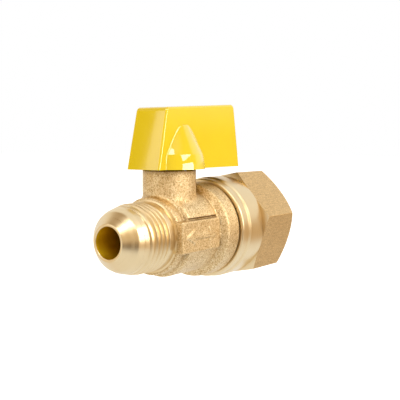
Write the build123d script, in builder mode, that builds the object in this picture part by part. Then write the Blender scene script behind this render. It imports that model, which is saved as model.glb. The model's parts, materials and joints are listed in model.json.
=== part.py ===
"""Gas ball valve: a 3/8 in flare end, a 1/2 in female pipe end and a quarter-turn lever.

Millimetres, +Z up along the stem. The origin is the centre of the female mouth, and +X leaves that mouth,
so the valve lies along -X. Lengths along the pipe are measured from the stem axis: minus towards the
flare, plus towards the hexagon. The lever points along the pipe, which is open.
"""

import os
from math import copysign, cos, radians, sin, tan

from build123d import *

os.makedirs("parts", exist_ok=True)

# ---- driving dimensions ----
flare_face = -21.05
hexagon_end = 36.0
running_gap = 0.03  # radial clearance of every turning fit
past = 1.0  # how far a cutter reaches past the surface it cuts

port_r = 3.5
flare_thread_r = 7.87  # 5/8-18 UNF, inside its tolerance
flare_root_r = 7.07
flare_pitch = 25.4 / 18
flare_first_groove = -17.1
flare_groove_count = 6
groove_overcut = 0.4  # how far a thread groove's cutter reaches past the crest
flare_shoulder = -7.5  # the thread's plain land meets the forging here

band_r = 8.9  # forged band behind the thread
chamber_r = 9.75
collar_r = 11.35
collar_end = 12.9
joint_r = 8.3  # the tail piece screws into the body here
joint_start = 5.0
chamber_bore_r = 7.3

flange_start = 13.3  # the black seal fills the gap behind the collar
flange_r = 12.1
turned_r = 12.45
turned_end = 22.0
hexagon_start = 22.3  # at the corners
hexagon_flats = 24.7
hexagon_clock = 11.3  # degrees that the joint was tightened past level
hexagon_chamfer_r = 12.4
hexagon_edge_radius = 0.35
chamfer_crown = 0.05  # how far the corner chamfers bulge
pipe_crest_r = 9.15  # 1/2-14 pipe thread: the crest is the straight drilled hole
pipe_root_r = 10.3
pipe_pitch = 25.4 / 14
pipe_depth = 14.0
pipe_groove_count = 7
pipe_first_groove = 1.5  # from the mouth
mouth_chamfer = 0.45
drill_cone_start = 17.0

ball_r = 6.9
ball_port_r = 3.65
seat_r = 6.2
seat_bore_r = 3.85
seat_back = 7.4
seat_front = 3.9
seal_r = 10.9
seat_play = 0.03

neck_near_r = 6.31
neck_far_r = 6.08  # the two die halves don't quite match
neck_start = 4.0  # inside the ball chamber's wall
neck_top = 14.85
stem_bore_r = 3.6
stem_pocket_r = 4.5
stem_pocket_top = 9.35
stem_collar_top = 8.75
stem_collar_bottom = 7.35
stem_top = 21.0
stem_flats = 4.8
stem_chamfer = 0.3
oring_heights = (10.7, 12.9)
oring_groove_r = 2.35
oring_groove_width = 1.5
oring_section_r = 0.6
tang_thickness = 2.4
tang_width = 6.0
tang_bottom = 4.7
tang_play = 0.12
screw_r = 2.0
screw_hole_depth = 6.0
screw_clearance = 0.2
screw_point = 0.4
driver_cross = 3.4
driver_slot = 0.8
driver_depth = 1.3
driver_taper = 8.0

lever_bottom = 15.05
lever_top = 31.0  # above the highest point of the sloped top
lever_width = 9.35
lever_draft = 1.13  # degrees, on the two long sides
lever_front = -9.5  # at the bottom edge
lever_back = 22.95
lever_top_front = (-6.25, 29.0)  # along the pipe, height
lever_top_back = (20.9, 30.45)
lever_wall = 1.3
corner_radius = 1.2
edge_radius = 0.5
lever_cells = ((9.8, 13.0), (14.0, 17.2), (18.2, 21.4))  # along the pipe, at the bottom
cell_top = 27.0
hub_skirt_r = 8.5
hub_skirt_middle = (8.32, 16.75)  # radius, height: the skirt is slightly crowned
hub_skirt_top = (7.95, 18.4)
hub_crown_r = 8.0
hub_skirt_round = 0.6
hub_cone_top = (4.64, 25.1)  # radius, height
hub_blend = 0.6  # between the hub and the arm's sides
screw_seat = 24.5
screw_well_r = 3.65
screw_head_r = 3.4
screw_head_height = 2.5
screw_head_crown = 1.0
washer_height = 0.8
washer_split = 0.5

stop_inner_r = 4.75
stop_outer_r = 5.9
stop_height = 1.7
stop_start = 195.0  # degrees about the stem, from +X
stop_arc = 60.0  # degrees taken by the fixed lug
stop_slack = 1.0  # degrees left at each end of the quarter turn
stop_clearance = 0.25

# ---- planes and axes ----
stem_x = -hexagon_end
pipe_axis = Axis((stem_x, 0, 0), (1, 0, 0))
stem_axis = Axis((stem_x, 0, 0), (0, 0, 1))


def level(height):
    """Horizontal plane over the stem axis."""
    return Plane(origin=(stem_x, 0, height), x_dir=(1, 0, 0), z_dir=(0, 0, 1))


def lengthwise(distance):
    """Upright plane along the pipe: local x along the pipe, local y up, facing the near side."""
    return Plane(origin=(stem_x, -distance, 0), x_dir=(1, 0, 0), z_dir=(0, -1, 0))


def crosswise(distance):
    """Plane across the pipe: local x towards the near side, local y up, facing the flare."""
    return Plane(origin=(stem_x + distance, 0, 0), x_dir=(0, -1, 0), z_dir=(-1, 0, 0))


def radial(angle):
    """Upright plane through the stem axis: local x outward at this angle from +X, local y up."""
    out = (cos(radians(angle)), sin(radians(angle)), 0)
    return Plane(origin=(stem_x, 0, 0), x_dir=out, z_dir=(out[1], -out[0], 0))


section = lengthwise(0)


def groove_points(middle, root_r, crest_r, pitch):
    """Outline of a sixty-degree thread groove, from its root past the crest."""
    depth = crest_r - root_r
    depth += copysign(groove_overcut, depth)
    half_root = pitch / 16
    half_mouth = half_root + abs(depth) * tan(radians(30))
    return [
        (middle - half_root, root_r),
        (middle + half_root, root_r),
        (middle + half_mouth, root_r + depth),
        (middle - half_mouth, root_r + depth),
    ]


# ---- body: flare end, ball chamber, neck and threaded collar ----
body_outline = [
    ((flare_face, 0), 0),
    ((flare_face, 4.05), 0.3),
    ((-18.55, 6.55), 1.5),
    ((-17.3, 7.1), 1.0),
    ((-14.0, flare_thread_r), 0),
    ((flare_shoulder, flare_thread_r), 0),
    ((flare_shoulder, band_r), 0.5),
    ((-5.3, band_r), 0.5),
    ((-4.6, 8.5), 0.25),
    ((-4.0, chamber_r), 0.5),
    ((6.3, chamber_r), 0.7),
    ((7.2, 9.5), 0.3),
    ((8.3, collar_r), 0.7),
    ((collar_end, collar_r), 0.3),
    ((collar_end, 0), 0),
]
pad_face = 9.75  # distance of the pad's face from the pipe's axis
pad_left, pad_right = -7.6, 6.85
pad_bottom, pad_top = -3.4, 3.75
pad_root = 7.6
pad_corner_radius = 0.35
pad_edge_radius = 0.3
moat_floor = 8.5
moat_width = 0.5
moat_right = 7.05
moat_bottom = -1.4
moat_corner_radius = 0.6
arrow_length = 10.6
arrow_head = 3.0
arrow_height = 3.4
arrow_shaft = 1.1
arrow_relief = 0.3

with BuildPart() as body:
    with BuildSketch(section):
        with BuildLine():
            corners = [point for point, _ in body_outline]
            FilletPolyline(*corners, radius=[radius for _, radius in body_outline], close=True)
        make_face()
    revolve(axis=pipe_axis)

    # neck, forged in two die halves that don't quite match
    with BuildSketch(level(neck_start)):
        Circle(neck_far_r)
    extrude(amount=neck_top - neck_start)
    with BuildSketch(level(neck_start)):
        Circle(neck_near_r)
        with Locations((0, neck_near_r)):
            Rectangle(3 * neck_near_r, 2 * neck_near_r, mode=Mode.SUBTRACT)
    extrude(amount=neck_top - neck_start)

    # raised pad with a shallow moat above it and in front of it
    with BuildSketch(lengthwise(moat_floor)):
        with BuildLine():
            FilletPolyline(
                (pad_left - moat_width, moat_bottom),
                (pad_left - moat_width, pad_top + moat_width),
                (moat_right, pad_top + moat_width),
                (moat_right, pad_top - past),
                (pad_left + past, pad_top - past),
                (pad_left + past, moat_bottom),
                radius=[0, moat_corner_radius, moat_corner_radius, 0, 0, 0],
                close=True,
            )
        make_face()
    extrude(amount=chamber_r - moat_floor + past, mode=Mode.SUBTRACT)
    with BuildSketch(lengthwise(pad_root)):
        with Locations(((pad_left + pad_right) / 2, (pad_bottom + pad_top) / 2)):
            RectangleRounded(pad_right - pad_left, pad_top - pad_bottom, pad_corner_radius)
    extrude(amount=pad_face - pad_root)
    fillet(body.faces().sort_by(Axis.Y)[0].edges(), pad_edge_radius)

    # plain double arrow along the flow, in place of any marking
    with BuildSketch(lengthwise(pad_face)):
        with Locations(((pad_left + pad_right) / 2, (pad_bottom + pad_top) / 2)):
            Rectangle(arrow_length - arrow_head, arrow_shaft)
        for end, turn in ((1, -90), (-1, 90)):
            middle = (pad_left + pad_right) / 2 + end * (arrow_length - arrow_head) / 2
            with Locations(Location((middle, (pad_bottom + pad_top) / 2), turn)):
                Triangle(a=arrow_height, b=arrow_height, c=arrow_height)
    extrude(amount=arrow_relief)

    # flare thread
    with BuildSketch(section):
        for turn in range(flare_groove_count):
            with BuildLine():
                middle = flare_first_groove + turn * flare_pitch
                Polyline(*groove_points(middle, flare_root_r, flare_thread_r, flare_pitch), close=True)
            make_face()
    revolve(axis=pipe_axis, mode=Mode.SUBTRACT)

    # port, seat pocket, ball chamber and joint bore
    with BuildSketch(section):
        with BuildLine():
            Polyline(
                (flare_face - past, 0),
                (flare_face - past, port_r),
                (-seat_back, port_r),
                (-seat_back, seat_r),
                (-seat_front, seat_r),
                (-seat_front, chamber_bore_r),
                (joint_start, chamber_bore_r),
                (joint_start, joint_r),
                (collar_end + past, joint_r),
                (collar_end + past, 0),
                close=True,
            )
        make_face()
    revolve(axis=pipe_axis, mode=Mode.SUBTRACT)

    # stem bore, and the wider pocket that keeps the stem from blowing out
    with BuildSketch(level(0)):
        Circle(stem_pocket_r)
    extrude(amount=stem_pocket_top, mode=Mode.SUBTRACT)
    with BuildSketch(level(0)):
        Circle(stem_bore_r)
    extrude(amount=neck_top + past, mode=Mode.SUBTRACT)

    # quarter-turn stop on the neck's rim
    with BuildSketch(radial(stop_start)):
        with Locations(((stop_inner_r + stop_outer_r) / 2, neck_top)):
            Rectangle(stop_outer_r - stop_inner_r, 2 * stop_height)
    revolve(axis=stem_axis, revolution_arc=stop_arc)

body.part.label = "body"
export_step(body.part, "parts/body.step")

# ---- tail piece: screwed in from behind, it holds the rear seat and ends in the hexagon ----
tail_outline = [
    ((joint_start + 0.15, 0), 0),
    ((joint_start + 0.15, joint_r - running_gap), 0.3),
    ((flange_start, joint_r - running_gap), 0),
    ((flange_start, flange_r), 0.5),
    ((15.9, flange_r), 0.15),
    ((16.35, turned_r), 0.15),
    ((turned_end, turned_r), 0),
    ((turned_end, 0), 0),
]
corner_r = hexagon_flats / 2 / cos(radians(30))
chamfer_run = corner_r - hexagon_chamfer_r

with BuildPart() as tail_piece:
    with BuildSketch(section):
        with BuildLine():
            corners = [point for point, _ in tail_outline]
            FilletPolyline(*corners, radius=[radius for _, radius in tail_outline], close=True)
        make_face()
    revolve(axis=pipe_axis)

    with BuildSketch(crosswise(turned_end)) as hexagon:
        RegularPolygon(hexagon_flats / 2, 6, major_radius=False, rotation=hexagon_clock)
        fillet(hexagon.vertices(), hexagon_edge_radius)
    extrude(amount=turned_end - hexagon_end)

    # slightly crowned corner chamfers at both ends of the hexagon
    with BuildSketch(section):
        for face, inner_r, edge, crown in (
            (turned_end, turned_r, hexagon_start, chamfer_crown),
            (hexagon_end, hexagon_chamfer_r, hexagon_end - chamfer_run, -chamfer_crown),
        ):
            with BuildLine():
                SagittaArc((face, inner_r), (edge, corner_r), crown)
                Polyline((edge, corner_r), (edge, corner_r + past), (face, corner_r + past), (face, inner_r))
            make_face()
    revolve(axis=pipe_axis, mode=Mode.SUBTRACT)

    # seat pocket, port, drill cone and tapped bore
    with BuildSketch(section):
        with BuildLine():
            Polyline(
                (joint_start - past, 0),
                (joint_start - past, seat_r),
                (seat_back, seat_r),
                (seat_back, ball_port_r),
                (drill_cone_start, ball_port_r),
                (hexagon_end - pipe_depth, pipe_crest_r),
                (hexagon_end - mouth_chamfer, pipe_crest_r),
                (hexagon_end, pipe_root_r),
                (hexagon_end + past, pipe_root_r),
                (hexagon_end + past, 0),
                close=True,
            )
        make_face()
    revolve(axis=pipe_axis, mode=Mode.SUBTRACT)

    # pipe thread
    with BuildSketch(section):
        for turn in range(pipe_groove_count):
            with BuildLine():
                middle = hexagon_end - pipe_first_groove - turn * pipe_pitch
                Polyline(*groove_points(middle, pipe_root_r, pipe_crest_r, pipe_pitch), close=True)
            make_face()
    revolve(axis=pipe_axis, mode=Mode.SUBTRACT)

tail_piece.part.label = "tail_piece"
export_step(tail_piece.part, "parts/tail_piece.step")

# ---- seal ring squeezed between the collar and the tail piece's flange ----
with BuildPart() as body_seal_ring:
    with BuildSketch(crosswise(collar_end)):
        Circle(seal_r)
        Circle(joint_r, mode=Mode.SUBTRACT)
    extrude(amount=collar_end - flange_start)

body_seal_ring.part.label = "body_seal_ring"
export_step(body_seal_ring.part, "parts/body_seal_ring.step")

# ---- ball, with its port along the pipe and a slot across it for the stem's tang ----
with BuildPart() as ball:
    with BuildSketch(section):
        with BuildLine():
            CenterArc((0, 0), ball_r, 0, 180)
            Line((-ball_r, 0), (ball_r, 0))
        make_face()
    revolve(axis=pipe_axis)
    with BuildSketch(crosswise(-ball_r)):
        Circle(ball_port_r)
    extrude(amount=-2 * ball_r, mode=Mode.SUBTRACT)
    with BuildSketch(level(tang_bottom - tang_play)):
        Rectangle(tang_thickness + tang_play, 2 * ball_r)
    extrude(amount=ball_r, mode=Mode.SUBTRACT)

ball.part.label = "ball"
export_step(ball.part, "parts/ball.step")

# ---- two seat rings that the ball floats between ----
for seat_name, side in (("front_seat", -1), ("rear_seat", 1)):
    with BuildPart() as seat:
        with BuildSketch(section):
            with Locations((side * (seat_front + seat_back) / 2, (seat_bore_r + seat_r) / 2)):
                Rectangle(seat_back - seat_front - seat_play, seat_r - seat_bore_r - seat_play)
            Circle(ball_r + running_gap, mode=Mode.SUBTRACT)
        revolve(axis=pipe_axis)
    seat.part.label = seat_name
    export_step(seat.part, f"parts/{seat_name}.step")

# ---- stem: fitted from inside, with a tang below and two flats above ----
with BuildPart() as stem:
    with BuildSketch(level(tang_bottom)):
        Rectangle(tang_thickness, tang_width)
    extrude(amount=stem_collar_bottom - tang_bottom)
    with BuildSketch(level(stem_collar_bottom)):
        Circle(stem_pocket_r - running_gap)
    extrude(amount=stem_collar_top - stem_collar_bottom)
    with BuildSketch(level(stem_collar_top)):
        Circle(stem_bore_r - running_gap)
    extrude(amount=neck_top - stem_collar_top)
    with BuildSketch(level(neck_top)):
        Circle(stem_bore_r - running_gap)
        Rectangle(3 * stem_bore_r, stem_flats, mode=Mode.INTERSECT)
    extrude(amount=stem_top - neck_top)
    chamfer(stem.faces().sort_by(Axis.Z)[-1].edges(), stem_chamfer)
    for height in oring_heights:
        with BuildSketch(level(height - oring_groove_width / 2)):
            Circle(stem_bore_r + past)
            Circle(oring_groove_r, mode=Mode.SUBTRACT)
        extrude(amount=oring_groove_width, mode=Mode.SUBTRACT)
    with BuildSketch(level(stem_top)):
        Circle(screw_r + running_gap)
    extrude(amount=-screw_hole_depth, mode=Mode.SUBTRACT)

stem.part.label = "stem"
export_step(stem.part, "parts/stem.step")

# ---- low-friction washer over the stem's collar ----
with BuildPart() as stem_washer:
    with BuildSketch(level(stem_collar_top)):
        Circle(stem_pocket_r - running_gap)
        Circle(stem_bore_r + running_gap, mode=Mode.SUBTRACT)
    extrude(amount=stem_pocket_top - running_gap - stem_collar_top)

stem_washer.part.label = "stem_washer"
export_step(stem_washer.part, "parts/stem_washer.step")

# ---- two rings that seal the stem ----
oring_middle = (oring_groove_r + stem_bore_r) / 2
for oring_name, height in zip(("stem_oring_lower", "stem_oring_upper"), oring_heights):
    with BuildPart() as oring:
        with BuildSketch(section):
            with Locations((oring_middle, height)):
                Circle(oring_section_r)
        revolve(axis=stem_axis)
    oring.part.label = oring_name
    export_step(oring.part, f"parts/{oring_name}.step")

# ---- lever: a tall hollow wedge on a conical hub ----
with BuildPart() as handle:
    with BuildSketch(level(lever_bottom)):
        with Locations(((lever_front + lever_back) / 2, 0)):
            Rectangle(lever_back - lever_front + lever_width, lever_width)
    extrude(amount=lever_top - lever_bottom, taper=lever_draft)
    with BuildSketch(section):
        with BuildLine():
            FilletPolyline(
                (lever_front, lever_bottom),
                (lever_back, lever_bottom),
                lever_top_back,
                lever_top_front,
                radius=[0, 0, corner_radius, corner_radius],
                close=True,
            )
        make_face()
    extrude(amount=lever_width, both=True, mode=Mode.INTERSECT)
    upright_and_top = handle.edges().filter_by(lambda edge: edge.center().Z > lever_bottom)
    fillet(upright_and_top, edge_radius)

    with BuildSketch(section):
        with BuildLine():
            FilletPolyline(
                (0, lever_bottom),
                (hub_skirt_r, lever_bottom),
                hub_skirt_middle,
                hub_skirt_top,
                hub_cone_top,
                (0, hub_cone_top[1]),
                radius=[0, 0, hub_crown_r, hub_skirt_round, 0, 0],
                close=True,
            )
        make_face()
    revolve(axis=stem_axis)
    fillet(handle.edges().filter_by(GeomType.HYPERBOLA), hub_blend)

    # three cells under the long arm, with two ribs between them
    with BuildSketch(section):
        for cell_left, cell_right in lever_cells:
            with BuildLine():
                lean = (lever_back - lever_top_back[0]) / (lever_top_back[1] - lever_bottom)
                last = cell_right == lever_cells[-1][1]
                top_right = cell_right - (cell_top - lever_bottom) * lean * last
                Polyline(
                    (cell_left, lever_bottom - past),
                    (cell_right, lever_bottom - past),
                    (top_right, cell_top),
                    (cell_left, cell_top),
                    close=True,
                )
            make_face()
    extrude(amount=lever_width / 2 - lever_wall, both=True, mode=Mode.SUBTRACT)

    # arc that the stop lug runs in: a quarter turn and a little slack
    with BuildSketch(radial(stop_start - stop_slack)):
        with Locations(((stop_inner_r + stop_outer_r) / 2, lever_bottom)):
            Rectangle(
                stop_outer_r - stop_inner_r + 2 * stop_clearance,
                2 * (neck_top + stop_height + stop_clearance - lever_bottom),
            )
    revolve(axis=stem_axis, revolution_arc=stop_arc + 90 + 2 * stop_slack, mode=Mode.SUBTRACT)

    # socket for the stem's flats, screw hole and screw well
    with BuildSketch(level(lever_bottom)):
        Circle(stem_bore_r)
        Rectangle(3 * stem_bore_r, stem_flats + 2 * running_gap, mode=Mode.INTERSECT)
    extrude(amount=stem_top + running_gap - lever_bottom, mode=Mode.SUBTRACT)
    with BuildSketch(level(stem_top)):
        Circle(screw_r + screw_clearance)
    extrude(amount=screw_seat - stem_top, mode=Mode.SUBTRACT)
    with BuildSketch(level(screw_seat)):
        Circle(screw_well_r)
    extrude(amount=lever_top - screw_seat, mode=Mode.SUBTRACT)

handle.part.label = "handle"
export_step(handle.part, "parts/handle.step")

# ---- lock washer and screw that hold the lever on the stem ----
head_bottom = screw_seat + washer_height
with BuildPart() as handle_washer:
    with BuildSketch(level(screw_seat)):
        Circle(screw_head_r)
        Circle(screw_r + screw_clearance, mode=Mode.SUBTRACT)
    extrude(amount=washer_height)
    with BuildSketch(level(screw_seat)):
        with Locations((screw_head_r, 0)):
            Rectangle(2 * screw_head_r, washer_split)
    extrude(amount=washer_height, mode=Mode.SUBTRACT)

handle_washer.part.label = "handle_washer"
export_step(handle_washer.part, "parts/handle_washer.step")

with BuildPart() as handle_screw:
    with BuildSketch(level(head_bottom)):
        Circle(screw_head_r)
    extrude(amount=screw_head_height)
    fillet(handle_screw.faces().sort_by(Axis.Z)[-1].edges(), screw_head_crown)
    with BuildSketch(level(head_bottom)):
        Circle(screw_r)
    extrude(amount=stem_top - screw_hole_depth + screw_point - head_bottom)
    chamfer(handle_screw.faces().sort_by(Axis.Z)[0].edges(), screw_point)
    with BuildSketch(level(head_bottom + screw_head_height)):
        Rectangle(driver_cross, driver_slot)
        Rectangle(driver_slot, driver_cross)
    extrude(amount=-driver_depth, taper=driver_taper, mode=Mode.SUBTRACT)

handle_screw.part.label = "handle_screw"
export_step(handle_screw.part, "parts/handle_screw.step")
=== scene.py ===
"""Gas ball valve: procedural finishes, forging details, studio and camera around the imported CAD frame."""

import json
import math

import bmesh
import bpy
import numpy as np
from mathutils import Matrix, Vector, noise


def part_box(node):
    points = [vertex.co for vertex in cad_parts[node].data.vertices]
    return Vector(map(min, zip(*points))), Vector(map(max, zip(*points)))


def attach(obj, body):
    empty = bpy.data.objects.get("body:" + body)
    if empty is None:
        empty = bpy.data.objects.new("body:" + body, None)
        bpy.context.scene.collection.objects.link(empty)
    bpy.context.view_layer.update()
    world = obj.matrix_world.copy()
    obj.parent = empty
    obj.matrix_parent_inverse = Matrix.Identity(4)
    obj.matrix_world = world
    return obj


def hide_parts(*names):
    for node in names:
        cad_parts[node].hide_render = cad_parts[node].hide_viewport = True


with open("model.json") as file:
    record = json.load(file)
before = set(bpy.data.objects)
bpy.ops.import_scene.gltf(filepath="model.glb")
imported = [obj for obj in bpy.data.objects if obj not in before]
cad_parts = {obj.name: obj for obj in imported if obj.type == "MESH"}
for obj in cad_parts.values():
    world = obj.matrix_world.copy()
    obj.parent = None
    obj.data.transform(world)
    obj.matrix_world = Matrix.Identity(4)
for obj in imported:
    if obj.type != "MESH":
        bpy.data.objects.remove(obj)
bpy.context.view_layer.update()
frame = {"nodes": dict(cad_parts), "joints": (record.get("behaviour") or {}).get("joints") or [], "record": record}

MM = 0.001
seam = 0.0005 * MM  # packed faces whose corners are nearer than this are joined

# ---- places: millimetres, with x measured from the stem's axis ----
joints = {joint["name"]: joint for joint in frame["joints"]}
mounts = {mount["name"]: mount for mount in frame["record"]["mounts"]}
stem = Vector(joints["lever_turn"]["pos_m"])
flare_face = round((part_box("body")[0][0] - stem.x) / MM, 2)
port_r = mounts["flare_port"]["dims"]["r_mm"]
crest_r = mounts["flare_thread"]["dims"]["r_mm"]
shoulder = -7.5  # the turned nose meets the forging here
collar_face = 12.8  # the forging's skin ends here
chamber_r = 9.75
neck_r = 6.2


def add_object(name, data):
    """New object with this mesh, light or camera, linked to the scene."""
    item = bpy.data.objects.new(name, data)
    bpy.context.scene.collection.objects.link(item)
    return item


# ---- node helpers ----
class Nodes:
    """Short calls for building one material's node tree."""

    def __init__(self, name):
        self.material = bpy.data.materials.new(name)
        self.material.use_nodes = True
        self.tree = self.material.node_tree
        self.shader = self.tree.nodes["Principled BSDF"]
        self.place = self.new("ShaderNodeTexCoord").outputs["Object"]

    def new(self, kind, **settings):
        node = self.tree.nodes.new(kind)
        for key, value in settings.items():
            setattr(node, key, value)
        return node

    def link(self, source, target):
        self.tree.links.new(source, target)

    def set(self, **values):
        for key, value in values.items():
            self.shader.inputs[key.replace("_", " ")].default_value = value

    def noise(self, scale, detail=4.0, roughness=0.55, place=None):
        """Noise value, with its scale in grains per metre."""
        node = self.new("ShaderNodeTexNoise")
        node.inputs["Scale"].default_value = scale
        node.inputs["Detail"].default_value = detail
        node.inputs["Roughness"].default_value = roughness
        self.link(place or self.place, node.inputs["Vector"])
        return node.outputs["Fac"]

    def stretched(self, scale):
        """Object coordinates scaled by (x, y, z), for marks that run one way."""
        node = self.new("ShaderNodeMapping")
        node.inputs["Scale"].default_value = scale
        self.link(self.place, node.inputs["Vector"])
        return node.outputs["Vector"]

    def ramp(self, source, *stops):
        """Colour from a value: each stop is a position and the colour there."""
        node = self.new("ShaderNodeValToRGB")
        elements = node.color_ramp.elements
        while len(elements) < len(stops):
            elements.new(0.5)
        for element, (position, colour) in zip(elements, stops):
            element.position = position
            element.color = (*colour, 1)
        self.link(source, node.inputs["Fac"])
        return node.outputs["Color"]

    def multiply(self, first, second):
        node = self.new("ShaderNodeMix", data_type="RGBA", blend_type="MULTIPLY")
        node.inputs["Factor"].default_value = 1.0
        self.link(first, node.inputs["A"])
        self.link(second, node.inputs["B"])
        return node.outputs["Result"]

    def painted_corner_shade(self, reach, *stops):
        """Painted shade: colour by how open a place is, 0 deep in a corner, 1 in the open."""
        node = self.new("ShaderNodeAmbientOcclusion")
        node.samples = 8
        node.inputs["Distance"].default_value = reach
        return self.ramp(node.outputs["AO"], *stops)

    def map_range(self, source, low, high, to_low, to_high):
        node = self.new("ShaderNodeMapRange")
        for key, value in zip(("From Min", "From Max", "To Min", "To Max"), (low, high, to_low, to_high)):
            node.inputs[key].default_value = value
        self.link(source, node.inputs["Value"])
        return node.outputs["Result"]

    def bump(self, height, distance, strength=1.0, normal=None):
        node = self.new("ShaderNodeBump")
        node.inputs["Distance"].default_value = distance
        node.inputs["Strength"].default_value = strength
        self.link(height, node.inputs["Height"])
        if normal:
            self.link(normal, node.inputs["Normal"])
        return node.outputs["Normal"]

    def finish(self, colour=None, roughness=None, normal=None):
        for key, source in (("Base Color", colour), ("Roughness", roughness), ("Normal", normal)):
            if source:
                self.link(source, self.shader.inputs[key])
        return self.material


# ---- materials ----
white = (1.0, 1.0, 1.0)


def forged_brass():
    """Shot-blasted forging: pale grains on a browner ground, with fine dents and painted shade darkening its
    corners and hollows.
    """
    n = Nodes("forged_brass")
    n.set(Metallic=1.0)
    grain = n.noise(3100, 3, 0.7)
    fine = n.noise(6500, 2, 0.5)
    cloud = n.noise(380, 4, 0.6)
    ground, skin, worn = (0.50, 0.325, 0.135), (0.83, 0.625, 0.34), (0.97, 0.84, 0.57)
    colour = n.ramp(grain, (0.36, ground), (0.50, skin), (0.66, worn))
    colour = n.multiply(colour, n.ramp(cloud, (0.36, (0.90, 0.86, 0.80)), (0.64, white)))
    # painted shade: corners and hollows darkened by how enclosed they are
    colour = n.multiply(colour, n.painted_corner_shade(2.4 * MM, (0.42, (0.22, 0.16, 0.10)), (0.82, white)))
    rough = n.map_range(grain, 0.3, 0.7, 0.48, 0.36)
    normal = n.bump(fine, 0.03 * MM, 0.4, n.bump(grain, 0.18 * MM, 0.85))
    return n.finish(colour, rough, normal)


def turned_brass():
    """Machined brass: smooth, with rings left by the tool."""
    n = Nodes("turned_brass")
    n.set(Metallic=1.0)
    rings = n.noise(1.0, 2, 0.5, n.stretched((9000, 60, 60)))
    cloud = n.noise(150, 3, 0.5)
    colour = n.ramp(cloud, (0.3, (0.78, 0.61, 0.355)), (0.7, (0.84, 0.68, 0.42)))
    rough = n.map_range(rings, 0.3, 0.7, 0.27, 0.38)
    return n.finish(colour, rough, n.bump(rings, 0.008 * MM, 0.5))


def bore_brass():
    """Drilled bore: the same brass, rougher, with painted shade making it darker and browner inside the bore."""
    n = Nodes("bore_brass")
    n.set(Metallic=1.0)
    rings = n.noise(1.0, 2, 0.5, n.stretched((5000, 200, 200)))
    # painted shade: a darker, browner colour for the inside of the bore
    colour = n.ramp(n.noise(500, 3, 0.5), (0.3, (0.54, 0.36, 0.009)), (0.7, (0.64, 0.43, 0.016)))
    return n.finish(colour, n.map_range(rings, 0.3, 0.7, 0.42, 0.55), n.bump(rings, 0.01 * MM, 0.5))


def flat_brass():
    """Hexagon faces: a fine matt skin with marks along the bar."""
    n = Nodes("flat_brass")
    n.set(Metallic=1.0)
    grain = n.noise(3600, 3, 0.7)
    streak = n.noise(1.0, 3, 0.6, n.stretched((600, 3200, 3200)))
    colour = n.ramp(grain, (0.34, (0.54, 0.345, 0.14)), (0.66, (0.84, 0.60, 0.29)))
    colour = n.multiply(colour, n.ramp(streak, (0.35, (0.84, 0.80, 0.74)), (0.6, white)))
    rough = n.map_range(streak, 0.3, 0.7, 0.36, 0.50)
    return n.finish(colour, rough, n.bump(streak, 0.05 * MM, 0.5, n.bump(grain, 0.1 * MM, 0.6)))


def yellow_gloss():
    """Glossy yellow moulding with a faint ripple."""
    n = Nodes("yellow_gloss")
    n.set(Roughness=0.06, IOR=1.5, Coat_Weight=1.0, Coat_Roughness=0.03)
    cloud = n.noise(90, 2, 0.5)
    colour = n.ramp(cloud, (0.3, (0.60, 0.43, 0.001)), (0.7, (0.625, 0.45, 0.0015)))
    return n.finish(colour, None, n.bump(n.noise(260, 2, 0.4), 0.02 * MM, 0.15))


def chrome():
    """The ball's polished plating."""
    n = Nodes("ball_chrome")
    n.set(Metallic=1.0)
    colour = n.ramp(n.noise(200, 2), (0.3, (0.70, 0.71, 0.73)), (0.7, (0.78, 0.79, 0.81)))
    return n.finish(colour, n.map_range(n.noise(900, 3), 0.3, 0.7, 0.05, 0.12))


def seat_plastic():
    """Off-white PTFE of the seats and the stem's washer."""
    n = Nodes("seat_plastic")
    n.set(Subsurface_Weight=0.1)
    colour = n.ramp(n.noise(300, 2), (0.3, (0.80, 0.80, 0.77)), (0.7, (0.87, 0.87, 0.85)))
    return n.finish(colour, n.map_range(n.noise(1500, 3), 0.3, 0.7, 0.40, 0.52))


def rubber():
    """Black nitrile of the seal rings."""
    n = Nodes("seal_rubber")
    colour = n.ramp(n.noise(800, 3), (0.3, (0.012, 0.012, 0.012)), (0.7, (0.025, 0.024, 0.023)))
    return n.finish(colour, n.map_range(n.noise(2500, 3), 0.3, 0.7, 0.5, 0.65))


def zinc_steel():
    """Zinc-plated steel of the lever's screw and washer."""
    n = Nodes("zinc_steel")
    n.set(Metallic=1.0)
    colour = n.ramp(n.noise(500, 3), (0.3, (0.55, 0.55, 0.54)), (0.7, (0.68, 0.68, 0.66)))
    return n.finish(colour, n.map_range(n.noise(2600, 3), 0.3, 0.7, 0.24, 0.36))


materials = {
    "forged": forged_brass(),
    "turned": turned_brass(),
    "bore": bore_brass(),
    "flat": flat_brass(),
    "yellow": yellow_gloss(),
    "chrome": chrome(),
    "seat": seat_plastic(),
    "rubber": rubber(),
    "steel": zinc_steel(),
}


# ---- finishing the CAD nodes ----
def dress(piece, *names, choose=None):
    """Give a piece its materials. choose(centre, normal) picks one of them for each face."""
    mesh = piece.data
    mesh.materials.clear()
    for name in names:
        mesh.materials.append(materials[name])
    for face in mesh.polygons:
        face.material_index = choose(face.center, face.normal) if choose else 0


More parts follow.
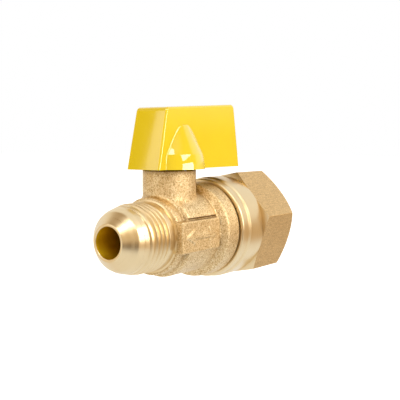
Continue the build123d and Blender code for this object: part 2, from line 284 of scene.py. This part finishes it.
def smoothing(angle):
    """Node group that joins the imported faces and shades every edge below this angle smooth."""
    tree = bpy.data.node_groups.new("smooth_below_angle", "GeometryNodeTree")
    tree.interface.new_socket("Geometry", in_out="INPUT", socket_type="NodeSocketGeometry")
    tree.interface.new_socket("Geometry", in_out="OUTPUT", socket_type="NodeSocketGeometry")
    start, end = tree.nodes.new("NodeGroupInput"), tree.nodes.new("NodeGroupOutput")
    merge = tree.nodes.new("GeometryNodeMergeByDistance")
    merge.inputs["Distance"].default_value = seam
    faces = tree.nodes.new("GeometryNodeSetShadeSmooth")
    edges = tree.nodes.new("GeometryNodeSetShadeSmooth")
    edges.domain = "EDGE"
    bend = tree.nodes.new("GeometryNodeInputMeshEdgeAngle")
    below = tree.nodes.new("FunctionNodeCompare")
    below.operation = "LESS_THAN"
    below.inputs["B"].default_value = math.radians(angle)
    tree.links.new(start.outputs[0], merge.inputs["Geometry"])
    tree.links.new(merge.outputs["Geometry"], faces.inputs["Geometry"])
    tree.links.new(faces.outputs["Geometry"], edges.inputs["Geometry"])
    tree.links.new(bend.outputs["Unsigned Angle"], below.inputs["A"])
    tree.links.new(below.outputs["Result"], edges.inputs["Shade Smooth"])
    tree.links.new(edges.outputs["Geometry"], end.inputs[0])
    return tree


def smooth_cad(node):
    """Even shading over a CAD node's curved faces, flat shading on its flat ones."""
    piece = frame["nodes"][node]
    custom = piece.data.attributes.get("custom_normal")
    if custom:
        piece.data.attributes.remove(custom)
    joined = piece.modifiers.new("smooth", "NODES")
    joined.node_group = smooth_group
    weighted = piece.modifiers.new("weighted", "WEIGHTED_NORMAL")
    weighted.keep_sharp = True
    weighted.weight = 90  # wide faces count far more than narrow ones
    return piece


def from_stem(point):
    """Millimetres along the pipe from the stem's axis."""
    return (point[0] - stem.x) / MM


def pipe_radius(point):
    """Millimetres from the pipe's axis."""
    return math.hypot(point[1], point[2]) / MM


stem_bore_r = 3.9
stem_bore_foot = 5.0
inside_r = 8.35  # nearer the pipe's axis than this is the inside of the chamber
inside_top = 8.5
neck_foot = 7.0
neck_skin_r = 6.6


def body_finish(centre, normal):
    """Forged outside from the shoulder to the collar, turned everywhere inside."""
    x, r, height = from_stem(centre), pipe_radius(centre), centre[2] / MM
    from_axis = math.hypot(x, centre[1] / MM)
    in_stem_bore = from_axis < stem_bore_r and height > stem_bore_foot
    on_neck = height > neck_foot and stem_bore_r < from_axis < neck_skin_r
    in_chamber = r < inside_r and height < inside_top and not on_neck
    return 1 if in_stem_bore or in_chamber or x > collar_face else 0


hexagon_start = 22.0
flat_inner_r = 11.5
sideways = 0.2  # a face whose normal leans along the pipe less than this faces sideways


def tail_finish(centre, normal):
    """Flats and corners keep the bar's skin, and the rest is turned."""
    on_hexagon = pipe_radius(centre) > flat_inner_r and from_stem(centre) > hexagon_start
    return 0 if on_hexagon and abs(normal.x) < sideways else 1


# ---- forging: the CAD body remeshed, softened where a die forging is soft, and shot-blasted ----
pad_reach = 0.12  # the forging is cut off this far past the shoulder, beyond the pad's edge
voxel = 0.12
# each pair is where a weight starts to change and where it is done changing
skin_from_pipe = (7.9, 8.4)
skin_from_stem = (4.2, 4.8)
skin_end = (12.3, 12.7)
root_fade = (0.7, 1.9)
neck_skin_foot = 7.5
pad_front = -8.0
pad_half_height = 4.8
pad_span = (-8.4, 7.4)
pad_softness = 0.25  # the pad keeps its crisp outline
relax_step = 0.5
skin_rounds = 7
root_rounds = 90
lumps = ((0.55, 0.03), (2.6, 0.012))  # how many per millimetre, and how high
# the cut end, which the nose covers, is kept between the inner and outer radius
stub_overlap = 0.05
stub_r = 8.2
stub_inner_r = 4.0
stub_outer_r = 7.5


def mesh_arrays(mesh):
    points = np.empty(len(mesh.vertices) * 3)
    mesh.vertices.foreach_get("co", points)
    edges = np.empty(len(mesh.edges) * 2, dtype=np.int64)
    mesh.edges.foreach_get("vertices", edges)
    return points.reshape(-1, 3), edges.reshape(-1, 2)


def relax(points, edges, weight, rounds):
    """Move each point towards the middle of its neighbours by its own weight."""
    first, second = edges.T
    count = np.bincount(edges.ravel(), minlength=len(points))[:, None]
    for _ in range(rounds):
        total = np.zeros_like(points)
        for axis in range(3):
            total[:, axis] = np.bincount(first, points[second, axis], len(points))
            total[:, axis] += np.bincount(second, points[first, axis], len(points))
        points += (total / count - points) * weight[:, None]
    return points


def smoothstep(value, low, high):
    t = np.clip((value - low) / (high - low), 0, 1)
    return t * t * (3 - 2 * t)


def vertex_normals(mesh, points):
    mesh.vertices.foreach_set("co", np.ascontiguousarray(points).ravel())
    mesh.update()
    normals = np.empty(len(mesh.vertices) * 3)
    mesh.vertex_normals.foreach_get("vector", normals)
    return normals.reshape(-1, 3)


def cut_body():
    """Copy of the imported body, cut off at the shoulder and closed there."""
    mesh = frame["nodes"]["body"].data.copy()
    shape = bmesh.new()
    shape.from_mesh(mesh)
    bmesh.ops.remove_doubles(shape, verts=shape.verts, dist=seam)
    everything = shape.verts[:] + shape.edges[:] + shape.faces[:]
    cut = {"plane_co": (stem.x + (shoulder - pad_reach) * MM, 0, 0), "plane_no": (1, 0, 0)}
    sliced = bmesh.ops.bisect_plane(shape, geom=everything, clear_inner=True, **cut)
    rim = [item for item in sliced["geom_cut"] if isinstance(item, bmesh.types.BMEdge)]
    bmesh.ops.triangle_fill(shape, edges=rim, use_beauty=True, use_dissolve=False)
    bmesh.ops.recalc_face_normals(shape, faces=shape.faces)
    shape.to_mesh(mesh)
    shape.free()
    mesh.materials.clear()
    return mesh


def soften(mesh, points, edges):
    """Rounded edges, a filleted root under the neck, and slow unevenness over the forged skin."""
    x, y, z = points.T
    from_stem_axis = np.hypot(x, y)
    pipe_skin = smoothstep(np.hypot(y, z), *skin_from_pipe)
    neck_skin = smoothstep(from_stem_axis, *skin_from_stem) * (z > neck_skin_foot)
    skin = np.maximum(pipe_skin, neck_skin) * (1 - smoothstep(x, *skin_end))
    # distance to the line where the neck leaves the chamber
    root_height = np.sqrt(np.maximum(chamber_r**2 - np.clip(y, -neck_r, neck_r) ** 2, 0))
    to_root = np.hypot(from_stem_axis - neck_r, z - root_height)
    root = (1 - smoothstep(to_root, *root_fade)) * (z > 0)
    pad = (y < pad_front) & (np.abs(z) < pad_half_height) & (x > pad_span[0]) & (x < pad_span[1])
    points = relax(points, edges, relax_step * skin * np.where(pad, pad_softness, 1.0), skin_rounds)
    points = relax(points, edges, relax_step * skin * root, root_rounds)
    normals = vertex_normals(mesh, points)
    height = [sum(noise.noise(Vector(p) * scale) * rise for scale, rise in lumps) for p in points]
    return points + normals * (skin * np.array(height))[:, None]


def tuck_under_nose(points):
    """Keep the cut end clear of the nose, which covers it."""
    from_pipe_axis = np.maximum(np.hypot(points[:, 1], points[:, 2]), 1e-6)
    stub = (points[:, 0] < shoulder + stub_overlap) & (from_pipe_axis < stub_r)
    wanted = np.clip(from_pipe_axis, stub_inner_r, stub_outer_r)
    points[stub, 1:] *= (wanted / from_pipe_axis)[stub, None]
    return points


def forging():
    """The body's forged part, from the shoulder to the collar."""
    piece = add_object("body_forging", cut_body())
    remesh = piece.modifiers.new("remesh", "REMESH")
    remesh.mode = "VOXEL"
    remesh.voxel_size = voxel * MM
    mesh = bpy.data.meshes.new_from_object(piece.evaluated_get(bpy.context.evaluated_depsgraph_get()))
    piece.modifiers.clear()
    piece.data = mesh
    mesh.name = "body_forging"
    points, edges = mesh_arrays(mesh)
    points = points / MM
    points[:, 0] -= stem.x / MM
    points = tuck_under_nose(soften(mesh, points, edges))
    points[:, 0] += stem.x / MM
    mesh.vertices.foreach_set("co", (points * MM).ravel())
    mesh.update()
    mesh.shade_smooth()
    dress(piece, "forged", "turned", choose=body_finish)
    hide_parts("body")
    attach(piece, "valve_body")


# ---- nose: turned flare cone and a true helical thread ----
lip_r = 4.05
lip_chamfer = 0.12
cone_end = (-18.55, 6.55)
thread_start = (-17.3, 7.1)
full_crest = -14.0
corner_radii = (0.25, 1.5, 0.9, 0.6)
overlap = 0.1  # how far the nose reaches into the forging
root_r = 7.07
pitch = 25.4 / 18
half_flank_angle = math.radians(30)
crest_softness = 0.05
first_groove = -17.1
groove_fade = (first_groove - 1.1, first_groove - 0.3)
thread_runout = (-10.1, -9.1)  # the last turn fades between these
turn_steps = 256
along_step = 0.06
near_side = math.radians(205)  # where the grooves stand at their stated places
nose_crease = math.radians(50)  # sharper bends than this stay sharp
port_margin = 0.01


def rounded(points, radii, steps=8):
    """Open outline with each inner corner replaced by an arc, as (x, r) pairs."""
    out = [points[0]]
    for before, corner, after, radius in zip(points, points[1:], points[2:], radii):
        a, b, c = (Vector(p) for p in (before, corner, after))
        to_a, to_c = (a - b).normalized(), (c - b).normalized()
        half = to_a.angle(to_c) / 2
        reach = radius / math.tan(half)
        centre = b + (to_a + to_c).normalized() * radius / math.sin(half)
        from_a, from_c = b + to_a * reach - centre, b + to_c * reach - centre
        sweep = from_a.angle_signed(from_c)
        for step in range(steps + 1):
            turn = -sweep * step / steps
            spun = Matrix.Rotation(turn, 2) @ from_a
            out.append(tuple(centre + spun))
    out.append(points[-1])
    return out


def nose_outline():
    """Closely spaced (x, r) points along the nose's outside, before the thread is cut."""
    corners = [
        (flare_face, port_r + lip_chamfer),
        (flare_face, lip_r),
        cone_end,
        thread_start,
        (full_crest, crest_r),
        (shoulder + overlap, crest_r),
    ]
    outline = rounded(corners, corner_radii)
    dense = []
    for (x0, r0), (x1, r1) in zip(outline, outline[1:]):
        count = max(1, math.ceil(math.hypot(x1 - x0, r1 - r0) / along_step))
        dense += [(x0 + (x1 - x0) * i / count, r0 + (r1 - r0) * i / count) for i in range(count)]
    dense.append(outline[-1])
    return dense


def thread_depth(x, r, theta):
    """How deep the helical groove cuts at each place on the nose."""
    phase = (x - first_groove) / pitch - (theta - near_side) / (2 * math.pi)
    off_groove = np.abs(phase - np.round(phase)) * pitch
    flank = root_r + np.maximum(off_groove - pitch / 12, 0) / math.tan(half_flank_angle)
    depth = np.maximum(r - flank, 0)
    depth = np.sqrt(depth**2 + crest_softness**2) - crest_softness
    depth *= 1 - smoothstep(x, *thread_runout)
    depth *= smoothstep(x, *groove_fade)
    return np.minimum(depth, np.maximum(r - root_r, 0))


def nose():
    """The turned flare end, which stands for the rest of the body."""
    outline = np.array(nose_outline())
    x, r = outline[:, :1], outline[:, 1:]
    theta = np.linspace(0, 2 * math.pi, turn_steps, endpoint=False)
    skin_r = r - thread_depth(x, r, theta[None, :])
    rows = [(np.full(turn_steps, px), row) for px, row in zip(x[:, 0], skin_r)]
    for px in (shoulder + overlap, flare_face + lip_chamfer):
        rows.append((np.full(turn_steps, px), np.full(turn_steps, port_r)))
    points, faces = [], []
    for row_x, row_r in rows:
        for a, px, pr in zip(theta, row_x, row_r):
            points.append((stem.x + px * MM, pr * math.cos(a) * MM, pr * math.sin(a) * MM))
    for i in range(len(rows)):
        j = (i + 1) % len(rows)
        for k in range(turn_steps):
            m = (k + 1) % turn_steps
            faces.append((i * turn_steps + k, j * turn_steps + k, j * turn_steps + m, i * turn_steps + m))
    mesh = bpy.data.meshes.new("flare_nose")
    mesh.from_pydata(points, [], faces)
    fix_normals(mesh)
    mesh.shade_smooth()
    mesh.set_sharp_from_angle(angle=nose_crease)
    piece = add_object("flare_nose", mesh)
    dress(piece, "turned", "bore", choose=lambda centre, normal: pipe_radius(centre) < port_r + port_margin)
    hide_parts("body")
    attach(piece, "valve_body")


def fix_normals(mesh):
    shape = bmesh.new()
    shape.from_mesh(mesh)
    bmesh.ops.recalc_face_normals(shape, faces=shape.faces)
    shape.to_mesh(mesh)
    shape.free()


# ---- the valve ----
smooth_group = smoothing(28)
plain_finishes = {
    "body_seal_ring": "rubber",
    "ball": "chrome",
    "front_seat": "seat",
    "rear_seat": "seat",
    "stem": "turned",
    "stem_washer": "seat",
    "stem_oring_lower": "rubber",
    "stem_oring_upper": "rubber",
    "handle": "yellow",
    "handle_washer": "steel",
    "handle_screw": "steel",
}
for node, finish in plain_finishes.items():
    dress(smooth_cad(node), finish)
dress(smooth_cad("tail_piece"), "flat", "turned", choose=tail_finish)
forging()
nose()


# ---- studio ----
view_azimuth = -54.51
view_elevation = 4.69
view_distance = 185.44 * MM
aim_past_stem = 12.456 * MM
aim_height = 6.911 * MM
aim = Vector((stem.x + aim_past_stem, 0, aim_height))
floor_size = 6.0
floor_drop = 60 * MM
softbox_distance = 3.0
cards = (
    # azimuths, elevations, colour, softness of the edges
    ((-185, -128), (-60, 60), (0.92, 0.78, 0.58), 6),
    ((-95, 48), (6, 47), (0.76, 0.59, 0.36), 5),
    ((-78, 104), (-21, 4), (0.62, 0.42, 0.22), 3),
    ((-62, -24), (-26, -4), (0.10, 0.065, 0.035), 6),
    ((-175, -85), (42, 89), (0.42, 0.29, 0.15), 6),
    ((-160, -132.3), (10, 30), (0.3, 0.22, 0.14), 0.3),
)


def floor_material():
    n = Nodes("floor_white")
    n.set(Roughness=0.9, Specular_IOR_Level=0.0, Emission_Color=(1, 1, 1, 1), Emission_Strength=0.35)
    return n.finish(n.ramp(n.noise(3, 2), (0.3, (0.93, 0.93, 0.93)), (0.7, (0.95, 0.95, 0.95))))


def add_floor():
    """Plain floor below the valve, left out of its reflections."""
    half = floor_size / 2
    corners = [(-half, -half, 0), (half, -half, 0), (half, half, 0), (-half, half, 0)]
    mesh = bpy.data.meshes.new("floor")
    mesh.from_pydata(corners, [], [(0, 1, 2, 3)])
    mesh.materials.append(floor_material())
    plane = add_object("floor", mesh)
    plane.location = (0, 0, -floor_drop)
    plane.visible_glossy = False


def direction(azimuth, elevation):
    """Unit vector from the valve: azimuth 0 is -Y, 90 is +X."""
    a, e = math.radians(azimuth), math.radians(elevation)
    return Vector((math.sin(a) * math.cos(e), -math.cos(a) * math.cos(e), math.sin(e)))


def point_at_aim(item, back, distance):
    """Stand a lamp or camera this far from the aim, looking at it."""
    item.location = aim + back * distance
    item.rotation_mode = "QUATERNION"
    item.rotation_quaternion = (-back).to_track_quat("-Z", "Y")


def width_across(angles):
    """Width of a softbox that fills the angles between these two, in degrees."""
    return 2 * softbox_distance * math.tan(math.radians(angles[1] - angles[0]) / 2)


def softbox(name, azimuths, elevations, radiance):
    """Rectangular light that fills this range of directions as the valve sees it."""
    back = direction(sum(azimuths) / 2, sum(elevations) / 2)
    light = bpy.data.lights.new(name, "AREA")
    light.shape = "RECTANGLE"
    light.size = width_across(azimuths) * math.cos(math.radians(sum(elevations) / 2))
    light.size_y = width_across(elevations)
    light.energy = radiance * math.pi * light.size * light.size_y
    holder = add_object(name, light)
    holder.visible_camera = False
    point_at_aim(holder, back, softbox_distance)


def studio_world():
    """White room with tan cards: each card fills a range of azimuth and elevation, with soft edges."""
    world = bpy.data.worlds.new("studio")
    world.use_nodes = True
    tree = world.node_tree
    new, link = tree.nodes.new, tree.links.new
    place = new("ShaderNodeTexCoord").outputs["Generated"]
    split = new("ShaderNodeSeparateXYZ")
    link(place, split.inputs[0])

    def math_node(operation, *inputs):
        node = new("ShaderNodeMath")
        node.operation = operation
        for socket, value in zip(node.inputs, inputs):
            if isinstance(value, (int, float)):
                socket.default_value = value
            else:
                link(value, socket)
        return node.outputs[0]

    degree = 180 / math.pi
    minus_y = math_node("MULTIPLY", split.outputs["Y"], -1.0)
    azimuth = math_node("MULTIPLY", math_node("ARCTAN2", split.outputs["X"], minus_y), degree)
    elevation = math_node("MULTIPLY", math_node("ARCSINE", split.outputs["Z"]), degree)

    def step(value, edge, soft):
        node = new("ShaderNodeMapRange")
        node.interpolation_type = "SMOOTHSTEP"
        node.inputs["From Min"].default_value = edge - soft
        node.inputs["From Max"].default_value = edge + soft
        link(value, node.inputs["Value"])
        return node.outputs["Result"]

    def card(colour, azimuths, elevations, tint, soft):
        across, up = (
            math_node("SUBTRACT", step(angle, low, soft), step(angle, high, soft))
            for angle, (low, high) in ((azimuth, azimuths), (elevation, elevations))
        )
        mix = new("ShaderNodeMix")
        mix.data_type = "RGBA"
        link(math_node("MULTIPLY", across, up), mix.inputs["Factor"])
        if isinstance(colour, tuple):
            mix.inputs["A"].default_value = (*colour, 1)
        else:
            link(colour, mix.inputs["A"])
        mix.inputs["B"].default_value = (*tint, 1)
        return mix.outputs["Result"]

    colour = white
    for azimuths, elevations, tint, soft in cards:
        colour = card(colour, azimuths, elevations, tint, soft)
    # the room itself looks plain white behind the valve
    backdrop = new("ShaderNodeMix")
    backdrop.data_type = "RGBA"
    link(new("ShaderNodeLightPath").outputs["Is Camera Ray"], backdrop.inputs["Factor"])
    link(colour, backdrop.inputs["A"])
    backdrop.inputs["B"].default_value = (*white, 1)
    link(backdrop.outputs["Result"], tree.nodes["Background"].inputs["Color"])
    bpy.context.scene.world = world


add_floor()
studio_world()
softbox("softbox_right_low", (-8, 32), (5, 12), 7.0)
softbox("softbox_right_high", (-8, 32), (20, 38), 6.5)
softbox("softbox_top", (-78, -30), (45, 58), 6.5)
softbox("softbox_left", (-132.3, -100), (8, 40), 1.2)

# ---- camera ----
camera_data = bpy.data.cameras.new("camera")
camera_data.sensor_width = 36.0
camera_data.lens = 67.83
camera_data.clip_start = 0.005
camera_data.clip_end = 20
camera = add_object("camera", camera_data)
point_at_aim(camera, direction(view_azimuth, view_elevation), view_distance)
bpy.context.scene.camera = camera
bpy.context.scene.view_settings.view_transform = "Standard"
